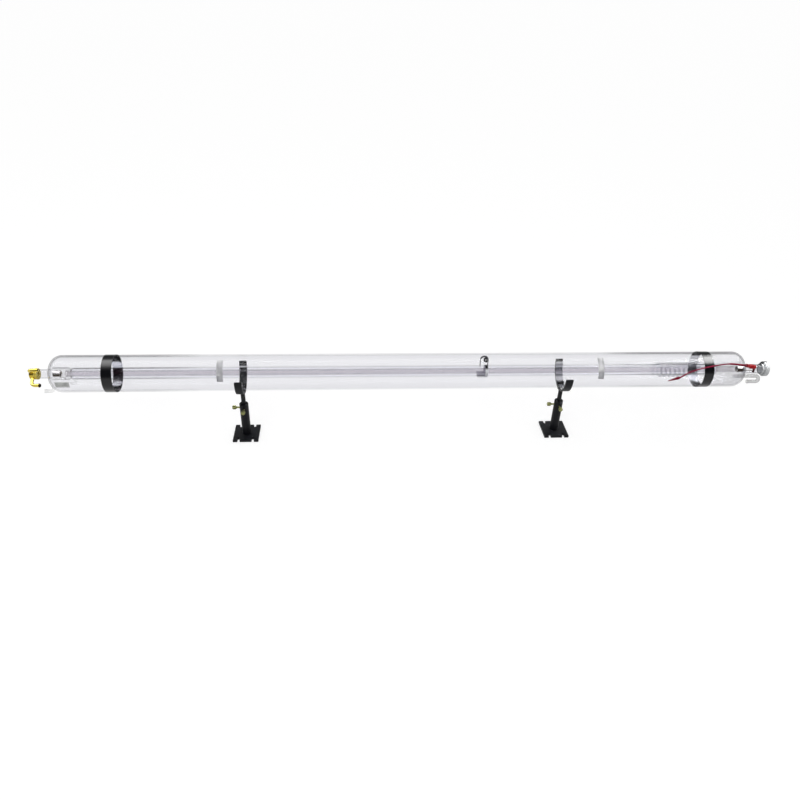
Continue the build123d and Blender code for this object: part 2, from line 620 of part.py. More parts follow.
# ---- Stands ------------------------------------------------------------------------
def base_plate(x):
    plate = Box(BASE_LENGTH, BASE_DEPTH, BASE_THICKNESS, align=(Align.CENTER, Align.CENTER, Align.MIN))
    plate = chamfer(plate.edges().group_by(Axis.Z)[-1], BASE_EDGE)
    for slot_x in (-SLOT_OFFSET, SLOT_OFFSET):
        for side in (-1, 1):
            slot_end = side * (BASE_DEPTH / 2 - SLOT_DEPTH + SLOT_WIDTH / 2)
            plate -= Pos(slot_x, slot_end, 0) * upright(SLOT_WIDTH / 2, -1, BASE_THICKNESS + 1)
            plate -= Pos(slot_x, slot_end + side * SLOT_DEPTH, BASE_THICKNESS / 2) * Box(
                SLOT_WIDTH, 2 * SLOT_DEPTH, 2 * BASE_THICKNESS)
    head_top = HEAD_SINK + BASE_SCREW_HEAD_HEIGHT
    plate -= upright(BASE_SCREW_HEAD + HEAD_MARGIN, -1, head_top)
    plate -= upright(BASE_SCREW_RADIUS + HEAD_MARGIN, -1, BASE_THICKNESS + 1)
    return Pos(x, 0, 0) * plate


def base_screw(x):
    head_top = HEAD_SINK + BASE_SCREW_HEAD_HEIGHT
    screw = upright(BASE_SCREW_HEAD, HEAD_SINK, head_top)
    screw += upright(BASE_SCREW_RADIUS, head_top, BASE_THICKNESS + BASE_SCREW_DEPTH)
    screw -= Pos(0, 0, HEAD_SINK) * extrude(RegularPolygon(BASE_SCREW_RADIUS, 6),
                                            BASE_SCREW_HEAD_HEIGHT / 2)
    return Pos(x, 0, 0) * screw


def thumb_hole(direction):
    return direction * Cylinder(THUMB_SHANK_RADIUS + SLIDING_CLEARANCE, 2 * COLUMN_RADIUS,
                             align=(Align.CENTER, Align.CENTER, Align.MIN))


def toward_end(x):
    """Plane on the column's axis; its normal points out along the end clamp screw."""
    return Plane((x, 0, THUMB_Z), x_dir=(0, 1, 0), z_dir=(-1, 0, 0))


def toward_side(x):
    return Plane((x, 0, THUMB_Z), x_dir=(1, 0, 0), z_dir=(0, -1, 0))


def column(x):
    post = upright(COLUMN_RADIUS, BASE_THICKNESS, COLUMN_TOP_Z)
    post = chamfer(post.edges().group_by(Axis.Z)[-1], COLUMN_CHAMFER)
    post -= upright(ROD_RADIUS + SLIDING_CLEARANCE, BASE_THICKNESS + COLUMN_FLOOR, COLUMN_TOP_Z + 1)
    post -= upright(BASE_SCREW_RADIUS + FIT_GAP, BASE_THICKNESS - 1,
                    BASE_THICKNESS + BASE_SCREW_DEPTH + 1)
    post = Pos(x, 0, 0) * post
    return post - thumb_hole(toward_end(x)) - thumb_hole(toward_side(x))


def rod(x):
    bar = upright(ROD_RADIUS, COLUMN_TOP_Z - ROD_HIDDEN, ROD_TOP_Z)
    bar = chamfer(bar.edges().group_by(Axis.Z)[0], ROD_CHAMFER)
    depth = ROD_TOP_Z - CRADLE_SCREW_DEPTH
    return Pos(x, 0, 0) * (bar - upright(CRADLE_SCREW_RADIUS + FIT_GAP, depth - 1, ROD_TOP_Z + 1))


def cradle(x):
    """U-shaped saddle, with straight tips and a flat boss that the rod screws to."""
    rise = CRADLE_TIP_RISE
    outer = Circle(CRADLE_OUTER) & Pos(0, -CRADLE_OUTER) * Rectangle(2 * CRADLE_OUTER, 2 * CRADLE_OUTER)
    outer += Pos(0, rise / 2) * Rectangle(2 * CRADLE_OUTER, rise)
    bore = Circle(CRADLE_INNER) + Pos(0, CRADLE_INNER) * Rectangle(2 * CRADLE_INNER, 2 * CRADLE_INNER)
    yoke = extrude(Plane.YZ * (outer - bore), CRADLE_WIDTH / 2, both=True)
    yoke = Pos(0, 0, AXIS_Z) * yoke
    yoke += upright(CRADLE_BOSS_RADIUS, ROD_TOP_Z, AXIS_Z - CRADLE_INNER - CRADLE_WALL / 2)
    seat = AXIS_Z - CRADLE_INNER
    yoke -= upright(WASHER_RADIUS + WASHER_SEAT_MARGIN, seat, seat + CRADLE_WALL)
    yoke -= upright(CRADLE_SCREW_RADIUS + SLIDING_CLEARANCE, ROD_TOP_Z - 1, seat + 1)
    return Pos(x, 0, 0) * yoke


def cradle_lining(x):
    """Two rubber strips inside the saddle, either side of the cradle screw."""
    inner = ENVELOPE_RADIUS + LINING_CLEARANCE
    strips = []
    for side in (-1, 1):
        wedge = Polyline((0, 0), (side * 2 * CRADLE_OUTER * cos(radians(LINING_TOP)),
                                  -2 * CRADLE_OUTER * sin(radians(LINING_TOP))),
                         (side * 2 * CRADLE_OUTER * cos(radians(LINING_BOTTOM)),
                          -2 * CRADLE_OUTER * sin(radians(LINING_BOTTOM))), close=True)
        strip = (Circle(CRADLE_INNER) - Circle(inner)) & make_face(wedge.edges())
        strips.append(Pos(x, 0, AXIS_Z) * extrude(Plane.YZ * strip, CRADLE_WIDTH / 2, both=True))
    return Compound(children=[solid for strip in strips for solid in strip.solids()])


def cradle_washer(x):
    seat = AXIS_Z - CRADLE_INNER
    return Pos(x, 0, 0) * (upright(WASHER_RADIUS, seat, seat + WASHER_THICKNESS)
                           - upright(CRADLE_SCREW_RADIUS + FIT_GAP, seat - 1, seat + 2))


def cradle_screw(x):
    seat = AXIS_Z - CRADLE_INNER + WASHER_THICKNESS
    head = upright(CRADLE_SCREW_HEAD, seat, seat + CRADLE_SCREW_HEAD_HEIGHT)
    head = fillet(head.edges().group_by(Axis.Z)[-1], CRADLE_SCREW_HEAD_HEIGHT / 2)
    head += upright(CRADLE_SCREW_RADIUS, ROD_TOP_Z - CRADLE_SCREW_DEPTH, seat)
    head -= Pos(0, 0, seat + CRADLE_SCREW_HEAD_HEIGHT / 2) * extrude(
        RegularPolygon(CRADLE_SCREW_SOCKET, 6), CRADLE_SCREW_HEAD_HEIGHT)
    return Pos(x, 0, 0) * head


def thumbscrew(direction):
    """Clamp screw with a ridged brass knob; it points out along the plane's normal."""
    tip = ROD_RADIUS + THUMB_TIP_GAP
    knob_start = COLUMN_RADIUS + THUMB_SHANK_SHOWN
    knob_end = knob_start + KNOB_LENGTH
    ridges = []
    for index in range(2 * KNOB_RIDGES):
        angle = pi * index / KNOB_RIDGES
        radius = KNOB_RADIUS - KNOB_RIDGE_DEPTH * (index % 2)
        ridges.append((radius * cos(angle), radius * sin(angle)))
    knob = Pos(0, 0, knob_start) * extrude(make_face(Polyline(*ridges, close=True).edges()), KNOB_LENGTH)
    blank = upright(KNOB_RADIUS, knob_start, knob_end)
    knob &= chamfer(blank.edges().filter_by(GeomType.CIRCLE), KNOB_CHAMFER)
    neck = upright(KNOB_NECK_RADIUS, knob_start - KNOB_NECK_LENGTH, knob_start)
    shank = upright(THUMB_SHANK_RADIUS, tip, knob_start)
    return direction * (knob + neck + shank)


# ---- Assembly ----------------------------------------------------------------------
def tube_nodes():
    return {
        "outer_envelope": outer_envelope(),
        "discharge_tube": discharge_tube(),
        "water_jacket": water_jacket(),
        "front_chamber": front_chamber(),
        "gas_return_coil": gas_return_coil(),
        "front_water_arm": water_arm(front_arm_path()),
        "rear_water_arm": water_arm(rear_arm_path()),
        "cathode_cylinder": cathode_cylinder(),
        "cathode_lead": cathode_lead(),
        "anode_cylinder": anode_cylinder(),
        "anode_lead": anode_lead(),
        "mid_support": mid_support(),
        "head_body": head_body(),
        "head_flange": head_flange(),
        "retaining_ring": retaining_ring(),
        "output_mirror": output_mirror(),
        "mirror_seal": mirror_seal(),
        "lower_head_nozzle": head_nozzle(LOWER_NOZZLE_TILT),
        "upper_head_nozzle": head_nozzle(UPPER_NOZZLE_TILT),
        "rear_collar": rear_collar(),
        "rear_mirror": rear_mirror(),
        "rear_cap": rear_cap(),
        "front_band": band(FRONT_FACE_X + FRONT_BAND_BACK),
        "rear_band": band(REAR_FACE_X - REAR_BAND_BACK),
        "hv_boot": hv_boot(),
        "hv_lead": hv_lead(),
        "hv_lead_cover": hv_lead_cover(),
        "hv_lead_sleeve": hv_lead_sleeve(),
    }


def stand_nodes(name, x):
    return {
        f"{name}_cradle": cradle(x),
        f"{name}_cradle_lining": cradle_lining(x),
        f"{name}_cradle_washer": cradle_washer(x),
        f"{name}_cradle_screw": cradle_screw(x),
        f"{name}_rod": rod(x),
        f"{name}_column": column(x),
        f"{name}_base_plate": base_plate(x),
        f"{name}_base_screw": base_screw(x),
        f"{name}_end_thumbscrew": thumbscrew(toward_end(x)),
        f"{name}_side_thumbscrew": thumbscrew(toward_side(x)),
    }


nodes = tube_nodes() | stand_nodes("front", STAND_FRONT_X) | stand_nodes("rear", STAND_REAR_X)
for node_name, shape in nodes.items():
    export_step(shape, f"parts/{node_name}.step")
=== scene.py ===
"""Looks of the carbon dioxide laser tube on its two post stands. Metres, in the CAD frame."""
from math import cos, pi, radians, sin

import bmesh
import bpy
from mathutils import Matrix, Vector


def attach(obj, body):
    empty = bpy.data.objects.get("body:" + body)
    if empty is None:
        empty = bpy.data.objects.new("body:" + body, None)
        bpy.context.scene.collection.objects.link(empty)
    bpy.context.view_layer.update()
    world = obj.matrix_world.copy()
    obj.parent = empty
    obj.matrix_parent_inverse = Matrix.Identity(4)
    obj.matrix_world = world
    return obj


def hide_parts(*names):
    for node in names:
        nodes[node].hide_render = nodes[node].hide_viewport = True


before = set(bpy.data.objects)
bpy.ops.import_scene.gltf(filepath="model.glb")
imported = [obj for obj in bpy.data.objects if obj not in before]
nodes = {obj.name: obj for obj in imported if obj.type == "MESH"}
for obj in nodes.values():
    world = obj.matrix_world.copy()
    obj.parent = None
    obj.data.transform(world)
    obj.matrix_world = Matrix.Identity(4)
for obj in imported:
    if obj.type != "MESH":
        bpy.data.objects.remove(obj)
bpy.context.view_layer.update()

# ---- Places and sizes, in metres -------------------------------------------------
AXIS_Z = 0.1675                 # tube's axis above the bench
GLASS_RADIUS = 0.040
ENVELOPE_MIDDLE_X = -0.015
EDGE_SHADE_FROM, EDGE_SHADE_FULL = 0.44, 0.54         # painted edge shade grows towards the ends, by distance from the middle
DOME_INSIDE, DOME_OUTSIDE = 0.755, 0.770    # either side of the end walls, the same way
RIPPLE_FROM, RIPPLE_FULL = 0.655, 0.69      # uneven wall near the rear dome, along X

LEAD_RADIUS = 0.0015
COVER_RADIUS = 0.0022
NOSE_RADIUS = 0.0040             # the boot's sleeve round the lead
LEAD_ROUTE = [
    (0.7740, -0.0145, 0.0150), (0.7607, -0.0178, 0.0189), (0.7513, -0.0281, 0.0264),
    (0.7393, -0.0316, 0.0294), (0.7210, -0.0295, 0.0306), (0.7029, -0.0292, 0.0309),
    (0.6775, -0.0320, 0.0282), (0.6518, -0.0349, 0.0248), (0.6317, -0.0372, 0.0197),
    (0.6142, -0.0404, 0.0148), (0.6037, -0.0425, 0.0085), (0.5978, -0.0431, 0.0049),
    (0.5913, -0.0434, 0.0029),
]                               # heights are above the tube's axis
COVER_SPAN = 0.09, 0.36          # shares of the lead under its heat-shrink cover
NOSE_END = 0.095                 # share of the lead inside the boot's sleeve

CURL_X = 0.1635                 # rolled end of the support's strip, inside its bow
CURL_LIFT = 0.0280
CURL_RADIUS = 0.0050
CURL_WIDTH = 0.006
CURL_SHEET = 0.0040
CURL_SIDES = 32

PRINT_LIFT = 0.00004            # a fired print stands this far off the glass
PRINT_THICKNESS = 0.00003
PRINTS = [                      # name, start, end, lowest and highest angle above the near side
    ("front_support_mark", -0.4220, -0.4090, 21, 72),
    ("front_support_block", -0.4220, -0.4090, 2, 21),
    ("rear_support_mark", 0.4110, 0.4240, 24, 73),
    ("rear_support_block", 0.4110, 0.4240, 1, 24),
    ("bare_label", -0.7580, -0.7290, -15, 5),
]
FIELD_INSET = 0.003             # bare darker field inside the label
FIELD_MARGIN = 0.001
FIELD_LOW = -9
FIELD_TOP_GAP = 2               # degrees below the label's upper edge

BAND_REACH = 0.041              # height bands run this far above and below the axis
TAPE_MIDDLE = 0.0406            # between the tape's inner and outer faces
ELECTRODE_RADIUS = 0.007
MOUTH_SHADE_START = -0.7987           # the painted shade runs from here to the lower nozzle's mouth
MOUTH_SHADE_FADE = 0.0015

CAMERA_PLACE = -0.13975, -1.33592, 0.81145   # the last is above the tube's axis
CAMERA_TURN, CAMERA_TILT, CAMERA_ROLL = 4.922, 33.516, 2.144   # degrees
CAMERA_LENS = 31.67
FLOOR_GLOW = 0.70
ROOM_PEAK = 8.0                 # brightest that a mirror may see


# ---- Small tools -----------------------------------------------------------------
def linear(hex_colour):
    """An sRGB hex colour as the linear values that sockets hold."""
    parts = [int(hex_colour[i:i + 2], 16) / 255 for i in (1, 3, 5)]
    return [p / 12.92 if p <= 0.04045 else ((p + 0.055) / 1.055) ** 2.4 for p in parts] + [1.0]


def add(tree, kind, inputs=None, **settings):
    """Adds a node; an input is a plain value or another node's output."""
    node = tree.nodes.new(kind)
    for name, value in settings.items():
        setattr(node, name, value)
    for name, value in (inputs or {}).items():
        if isinstance(value, bpy.types.NodeSocket):
            tree.links.new(value, node.inputs[name])
        else:
            node.inputs[name].default_value = value
    return node


def new_material(name):
    material = bpy.data.materials.new(name)
    material.use_nodes = True
    material.node_tree.nodes.clear()
    return material, material.node_tree


def show(tree, shader):
    add(tree, "ShaderNodeOutputMaterial", {"Surface": shader})


def grain(tree, size, detail=3.0):
    """A noise whose cells are about the given size, in metres."""
    place = add(tree, "ShaderNodeTexCoord").outputs["Object"]
    return add(tree, "ShaderNodeTexNoise",
               {"Vector": place, "Scale": 1 / size, "Detail": detail}).outputs["Fac"]


def spread(tree, value, low, high):
    """Maps a noise's middle range to low..high."""
    return add(tree, "ShaderNodeMapRange",
               {"Value": value, "From Min": 0.35, "From Max": 0.65, "To Min": low, "To Max": high}
               ).outputs["Result"]


def bumped(tree, height, depth, strength=0.5):
    return add(tree, "ShaderNodeBump",
               {"Height": height, "Distance": depth, "Strength": strength}).outputs["Normal"]


def varied(tree, value, first, second):
    """A colour between two hex colours, by a value from 0 to 1."""
    ramp = add(tree, "ShaderNodeValToRGB", {"Fac": value})
    ramp.color_ramp.elements[0].color = linear(first)
    ramp.color_ramp.elements[1].color = linear(second)
    ramp.color_ramp.elements[0].position = 0.35
    ramp.color_ramp.elements[1].position = 0.65
    return ramp.outputs["Color"]


# ---- Materials -------------------------------------------------------------------
def thin_glass(name, tint, gloss, strength, power=3.0, grey=0.01, ripple=0.0):
    """Drawn borosilicate tube: clear face on, and dark where its wall is seen edge on, partly
    absorption along the wall and partly painted shade set by place.
    """
    material, tree = new_material(name)
    facing = add(tree, "ShaderNodeLayerWeight", {"Blend": 0.5}).outputs["Facing"]
    grazing = add(tree, "ShaderNodeMath", {0: facing, 1: power}, operation="POWER").outputs[0]
    body = add(tree, "ShaderNodeMath", {0: grazing, 1: grey}, operation="ADD").outputs[0]
    # Painted shade: strength sets, by place, how dark the edges grow.
    shade = add(tree, "ShaderNodeMath", {0: body, 1: strength(tree)},
                operation="MULTIPLY").outputs[0]
    if ripple:
        shade = add(tree, "ShaderNodeMath", {0: shade, 1: flame_ripple(tree, ripple)},
                    operation="ADD").outputs[0]
    wall = add(tree, "ShaderNodeMix",
               {"Factor": shade, "A": linear(tint), "B": linear("#1C1C20")}, data_type="RGBA")
    clear = add(tree, "ShaderNodeBsdfTransparent", {"Color": wall.outputs["Result"]})
    shine = add(tree, "ShaderNodeBsdfGlossy", {"Color": linear("#FFFFFF"), "Roughness": 0.03})
    steep = add(tree, "ShaderNodeMath", {0: facing, 1: 5.0}, operation="POWER").outputs[0]
    share = add(tree, "ShaderNodeMapRange", {"Value": steep, "To Min": gloss, "To Max": 0.2})
    mix = add(tree, "ShaderNodeMixShader", {"Fac": share.outputs["Result"]})
    tree.links.new(clear.outputs["BSDF"], mix.inputs[1])
    tree.links.new(shine.outputs["BSDF"], mix.inputs[2])
    show(tree, mix.outputs["Shader"])
    return material


def place_axes(tree):
    place = add(tree, "ShaderNodeTexCoord").outputs["Object"]
    return add(tree, "ShaderNodeSeparateXYZ", {"Vector": place}).outputs


def ramped(tree, value, start, end, low, high):
    """Maps a value's range start..end to low..high, and holds it beyond."""
    return add(tree, "ShaderNodeMapRange", {"Value": value, "From Min": start, "From Max": end,
                                            "To Min": low, "To Max": high}).outputs["Result"]


def off_centre(tree, axes):
    """Distance along the tube from its middle."""
    away = add(tree, "ShaderNodeMath", {0: axes["X"], 1: -ENVELOPE_MIDDLE_X},
               operation="ADD").outputs[0]
    return add(tree, "ShaderNodeMath", {0: away}, operation="ABSOLUTE").outputs[0]


def painted_edge_shade_ends(tree):
    """Painted edge shade: dark near both ends, and faint along the middle and underneath."""
    axes = place_axes(tree)
    along = ramped(tree, off_centre(tree, axes), EDGE_SHADE_FROM, EDGE_SHADE_FULL, 0.4, 2.2)
    upper = ramped(tree, axes["Z"], AXIS_Z - 0.02, AXIS_Z, 0.25, 1.0)
    return add(tree, "ShaderNodeMath", {0: along, 1: upper}, operation="MULTIPLY").outputs[0]


def whole_length(tree):
    """Painted edge shade: dark all along, less so underneath."""
    return ramped(tree, place_axes(tree)["Z"], AXIS_Z - 0.006, AXIS_Z + 0.004, 0.5, 0.9)


def softened(tree):
    """Thin inner walls whose painted edge shade stays soft, most of all underneath."""
    return ramped(tree, place_axes(tree)["Z"], AXIS_Z - 0.004, AXIS_Z + 0.004, 0.3, 0.5)


def past_front_dome(tree):
    """The front outlet is drawn thin; its painted edge shade is light past the dome, and its run
    inside the envelope is barely seen.
    """
    away = off_centre(tree, place_axes(tree))
    return ramped(tree, away, DOME_INSIDE, DOME_OUTSIDE, 0.03, 0.4)


def past_rear_dome(tree):
    """The thick hairpin outside shows grey painted edge shade, and its run inside the envelope is
    barely seen.
    """
    away = off_centre(tree, place_axes(tree))
    return ramped(tree, away, DOME_INSIDE, DOME_OUTSIDE, 0.05, 1.0)


def flame_ripple(tree, depth):
    """Uneven wall where the rear dome was closed in the flame: streaks of grey near that end."""
    near_end = ramped(tree, place_axes(tree)["X"], RIPPLE_FROM, RIPPLE_FULL, 0.0, depth)
    streaks = spread(tree, grain(tree, 0.004, 3.0), 0.0, 1.0)
    return add(tree, "ShaderNodeMath", {0: near_end, 1: streaks}, operation="MULTIPLY").outputs[0]


def metal(name, first, second, roughness, grit, depth=0.0, patch=0.02, metallic=1.0):
    """A bare or plated metal with slow colour drift and fine surface grit."""
    material, tree = new_material(name)
    rough = spread(tree, grain(tree, grit), roughness * 0.8, roughness * 1.25)
    inputs = {"Base Color": varied(tree, grain(tree, patch, 1.0), first, second),
              "Metallic": metallic, "Roughness": rough}
    if depth:
        inputs["Normal"] = bumped(tree, grain(tree, grit), depth)
    show(tree, add(tree, "ShaderNodeBsdfPrincipled", inputs).outputs["BSDF"])
    return material


def moulded(name, first, second, roughness, grit, depth, ior=1.5):
    """Rubber, silicone, vinyl or print: a coloured, unmetallic surface."""
    material, tree = new_material(name)
    rough = spread(tree, grain(tree, grit), roughness * 0.8, roughness * 1.2)
    inputs = {"Base Color": varied(tree, grain(tree, 8 * grit, 1.0), first, second),
              "Roughness": rough, "IOR": ior,
              "Normal": bumped(tree, grain(tree, grit), depth)}
    show(tree, add(tree, "ShaderNodeBsdfPrincipled", inputs).outputs["BSDF"])
    return material


def from_axis(tree):
    """Distance from the tube's axis."""
    axes = place_axes(tree)
    height = add(tree, "ShaderNodeMath", {0: axes["Z"], 1: AXIS_Z},
                 operation="SUBTRACT").outputs[0]
    flat = add(tree, "ShaderNodeCombineXYZ", {"Y": axes["Y"], "Z": height})
    return add(tree, "ShaderNodeVectorMath", {0: flat.outputs["Vector"]},
               operation="LENGTH").outputs["Value"]


def height_bands(tree, bands):
    """A colour by height above the tube's axis, from heights in millimetres and hex colours."""
    share = ramped(tree, place_axes(tree)["Z"], AXIS_Z - BAND_REACH, AXIS_Z + BAND_REACH, 0.0, 1.0)
    ramp = add(tree, "ShaderNodeValToRGB", {"Fac": share})
    fill_ramp(ramp.color_ramp, [(0.5 + height / 1000 / (2 * BAND_REACH), linear(colour))
                                for height, colour in bands])
    return ramp.outputs["Color"]


def fill_ramp(ramp, stops):
    """Gives a colour ramp its stops, as places from 0 to 1 and linear colours."""
    while len(ramp.elements) < len(stops):
        ramp.elements.new(0.5)
    for element, (place, colour) in zip(ramp.elements, stops):
        element.position = place
        element.color = colour


def wrapped_tape(name, bands):
    """Glossy black vinyl outside; its partly metallic inner face shows through the glass, in bands
    by height that are partly its own lining and partly painted reflections and shade.
    """
    material, tree = new_material(name)
    inside = add(tree, "ShaderNodeMath", {0: from_axis(tree), 1: TAPE_MIDDLE},
                 operation="LESS_THAN").outputs[0]
    foil = add(tree, "ShaderNodeMath", {0: inside, 1: 0.75}, operation="MULTIPLY").outputs[0]
    # The inner face's bands hold painted reflections and painted shade.
    colour = add(tree, "ShaderNodeMix", {"Factor": inside, "A": linear("#090A0E"),
                                         "B": height_bands(tree, bands)}, data_type="RGBA")
    show(tree, add(tree, "ShaderNodeBsdfPrincipled",
                   {"Base Color": colour.outputs["Result"], "Metallic": foil, "Roughness": 0.16,
                    "IOR": 1.38,
                    "Normal": bumped(tree, grain(tree, 0.004), 0.00003)}).outputs["BSDF"])
    return material


def lined_rubber(name, bands):
    """Ribbed rubber strip, black, with paler bands at set heights that are painted reflections of
    the glass.
    """
    material, tree = new_material(name)
    show(tree, add(tree, "ShaderNodeBsdfPrincipled",
                   {"Base Color": height_bands(tree, bands), "Roughness": 0.6, "IOR": 1.2,
                    "Normal": bumped(tree, grain(tree, 0.0009), 0.00005)}).outputs["BSDF"])
    return material


def coated_spring(name, bands):
    """Blackened spring strip with a pale saddle where it bears on the jacket."""
    material, tree = new_material(name)
    show(tree, add(tree, "ShaderNodeBsdfPrincipled",
                   {"Base Color": height_bands(tree, bands), "IOR": 1.3,
                    "Roughness": spread(tree, grain(tree, 0.001), 0.3, 0.42)}).outputs["BSDF"])
    return material


def cast_cap_painted_shade(name):
    """Pale satin aluminium whose far half is painted darker, as painted shade."""
    material, tree = new_material(name)
    # Painted shade: the half turned away is coloured dark grey.
    away = ramped(tree, place_axes(tree)["Y"], -0.001, 0.0015, 0.0, 1.0)
    pale = varied(tree, grain(tree, 0.004), "#B4B6B8", "#D2D4D5")
    colour = add(tree, "ShaderNodeMix", {"Factor": away, "A": pale, "B": linear("#3A3C3E")},
                 data_type="RGBA")
    show(tree, add(tree, "ShaderNodeBsdfPrincipled",
                   {"Base Color": colour.outputs["Result"], "Metallic": 0.25,
                    "Roughness": 0.6}).outputs["BSDF"])
    return material


def nozzle_painted_mouth_shade(name, first, second):
    """Gold plated pipe with a dark brown ring of painted shade round its open mouth, standing in
    for the dark bore.
    """
    material, tree = new_material(name)
    # Painted shade of the open bore: the mouth end is coloured dark brown.
    mouth = ramped(tree, place_axes(tree)["X"], MOUTH_SHADE_START, MOUTH_SHADE_START + MOUTH_SHADE_FADE,
                   0.0, 1.0)
    gold = varied(tree, grain(tree, 0.02, 1.0), first, second)
    colour = add(tree, "ShaderNodeMix", {"Factor": mouth, "A": gold, "B": linear("#2C2410")},
                 data_type="RGBA")
    rough = ramped(tree, mouth, 0.0, 1.0, 0.18, 0.5)
    show(tree, add(tree, "ShaderNodeBsdfPrincipled",
                   {"Base Color": colour.outputs["Result"], "Metallic": 1.0,
                    "Roughness": rough}).outputs["BSDF"])
    return material


def boot_silicone(name, bands):
    """Bright red silicone, dark brown down its short leg."""
    material, tree = new_material(name)
    show(tree, add(tree, "ShaderNodeBsdfPrincipled",
                   {"Base Color": height_bands(tree, bands), "Roughness": 0.4, "IOR": 1.2,
                    "Normal": bumped(tree, grain(tree, 0.002), 0.00003)}).outputs["BSDF"])
    return material


def rolled_sheet(name, shade_edge):
    """Bright rolled nickel sheet with a strip of painted shade along its near side."""
    material, tree = new_material(name)
    # Painted shade: the near side of the sheet is coloured dark brown.
    mask = ramped(tree, place_axes(tree)["Y"], -shade_edge * ELECTRODE_RADIUS,
                  (0.05 - shade_edge) * ELECTRODE_RADIUS, 1.0, 0.0)
    dark = varied(tree, grain(tree, 0.003), "#4A3F37", "#5E534A")
    colour = add(tree, "ShaderNodeMix", {"Factor": mask, "A": linear("#BDBBBA"), "B": dark},
                 data_type="RGBA")
    show(tree, add(tree, "ShaderNodeBsdfPrincipled",
                   {"Base Color": colour.outputs["Result"], "Metallic": 1.0,
                    "Roughness": 0.6}).outputs["BSDF"])
    return material


# Borosilicate glass, drawn and flame worked. All of it is near colourless, with thin edges of
# painted shade.
# Outer envelope: crisp grey painted edge shade near the ends, fainter along the middle.
glass_outer = thin_glass("borosilicate_glass_outer", "#F8F8F9", 0.005, painted_edge_shade_ends, power=8.0,
                         grey=0.0, ripple=0.10)
# Water jacket: the same painted edge shade, thinner, on a clearer wall.
glass_jacket = thin_glass("borosilicate_glass_jacket", "#FDFDFE", 0.005, painted_edge_shade_ends, power=5.0,
                          grey=0.0)
# Discharge tube: a steady pair of grey lines of painted edge shade down the middle.
glass_bore = thin_glass("borosilicate_glass_bore", "#F7F6F7", 0.005, whole_length)
# Sleeve round the front electrode: a soft outline of painted edge shade that is barely there.
glass_chamber = thin_glass("borosilicate_glass_chamber", "#FCFCFC", 0.005, softened)
# Front outlet: pale grey painted shade once it is past the dome.
glass_outlet = thin_glass("borosilicate_glass_outlet", "#FCFCFC", 0.005, past_front_dome,
                          grey=0.08)
# Rear hairpin: a thicker wall, and a stronger grey of painted shade past the dome.
glass_hairpin = thin_glass("borosilicate_glass_hairpin", "#FCFCFC", 0.01, past_rear_dome,
                           grey=0.11)
# Coil: a row of fine grey loops of painted edge shade.
glass_coil = thin_glass("borosilicate_glass_coil", "#FBFBFC", 0.005, whole_length, power=4.0)

# Polished gold plate: warm yellow with sharp dark and bright reflections.
gold_plate = metal("polished_gold_plate", "#B8A03E", "#D2BE5C", roughness=0.18, grit=0.0015)
# The same plate left satin on the soldered flange: an even, duller yellow.
satin_gold = metal("satin_gold_plate", "#CBB64C", "#DCCA62", roughness=0.5, grit=0.0015,
                   metallic=0.4)
# Gold plated pipe with a brown, almost black ring of painted shade at its open mouth.
gold_painted_mouth_shade = nozzle_painted_mouth_shade("gold_plate_painted_mouth_shade", "#B8A03E", "#D2BE5C")
# Rolled nickel sheet: bright, with one narrow strip of painted shade along the near side.
cathode_sheet = rolled_sheet("cathode_nickel_sheet", shade_edge=0.98)
# The same sheet with a wider strip of painted shade.
anode_sheet = rolled_sheet("anode_nickel_sheet", shade_edge=0.82)
# Blackened spring strip: near black, with a pale saddle in the middle.
spring_steel = coated_spring("spring_steel", [
    (-14.5, "#3C3C40"), (-12.6, "#3C3C40"), (-12, "#E4E4E8"), (8, "#F4F4F6"), (11, "#202022"),
    (30, "#202022"), (34, "#58585C")])
# Satin aluminium casting: pale grey in front, with painted shade on the side turned away.
satin_aluminium = cast_cap_painted_shade("satin_aluminium")
# Zinc plated steel: cool light grey with a soft shine.
zinc_steel = metal("zinc_plated_steel", "#9A9B9E", "#ACADB0", roughness=0.3, grit=0.0008)
# Turned brass, gone dull: greenish yellow with a broad, weak shine.
turned_brass = metal("turned_brass", "#787A4C", "#8E9064", roughness=0.36, grit=0.0008,
                     depth=0.00002)
# Coated mirror blank: plain mid grey, hidden inside the head and the cap.
coated_optic = metal("coated_optic", "#A0A2A4", "#ACAEB0", roughness=0.4, grit=0.002)
# Black anodised aluminium: deep matt black with a faint cold sheen.
black_anodised = moulded("black_anodised_aluminium", "#08090C", "#0D0E13", roughness=0.42,
                         grit=0.0007, depth=0.00002, ior=1.25)
# Blackened steel: as dark, and a little smoother on the round rods.
black_steel = moulded("blackened_steel", "#07080A", "#0C0D10", roughness=0.38, grit=0.0006,
                      depth=0.00001, ior=1.3)
# Vinyl tape: glossy black outside. Its inner face shows grey bands through the glass, partly its
# own lining and partly painted reflections and shade.
front_tape = wrapped_tape("front_vinyl_tape", [
    (-39, "#0C1015"), (-38, "#545456"), (-33.7, "#5C5C5E"), (-31.7, "#2A262A"), (-30, "#5E5A5E"),
    (-25, "#5A5056"), (-20, "#5A3A46"), (-11, "#4A3A42"), (-8.5, "#F0F2F8"), (4.2, "#F4F6FC"),
    (7.5, "#0C1015")])
rear_tape = wrapped_tape("rear_vinyl_tape", [
    (-38.7, "#3A3C3C"), (-38, "#525254"), (-33, "#5C5C5E"), (-29.7, "#A4A4A6"), (-25.2, "#F4F4F4"),
    (-23.4, "#B0B0B2"), (-19, "#B0B0B2"), (-16, "#FFFFFF"), (13, "#FFFFFF"), (17, "#0C1015")])
